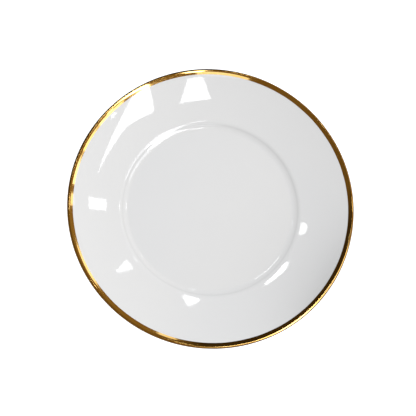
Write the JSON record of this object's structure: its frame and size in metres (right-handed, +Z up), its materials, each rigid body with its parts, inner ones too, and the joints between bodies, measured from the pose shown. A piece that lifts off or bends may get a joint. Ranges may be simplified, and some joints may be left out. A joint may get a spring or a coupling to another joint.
{
  "type": "dinner plate",
  "caption": "Round glazed china dinner plate with a flat well, a broad sloping rim, a foot ring and a burnished gold band round its lip.",
  "frame": {"origin": "on the axis of the plate, in the plane that the foot ring stands on", "axes": "+Z up along the axis of the plate, out of the well; +X and +Y are any two directions at right angles across the plate, which is round"},
  "size_m": [0.27, 0.27, 0.0232],
  "materials": {
    "bisque_porcelain": "fired, unglazed, fine matte",
    "clear_glaze": "clear glaze over white china, high gloss",
    "base_glaze": "clear glaze over white china, gloss",
    "burnished_gold": "fired-on gold, burnished to a mirror"
  },
  "bodies": {
    "root": {"porcelain_body": "bisque_porcelain", "glaze_coat": "clear_glaze", "glaze_base": "base_glaze", "gold_band": "burnished_gold"}
  },
  "joints": []
}
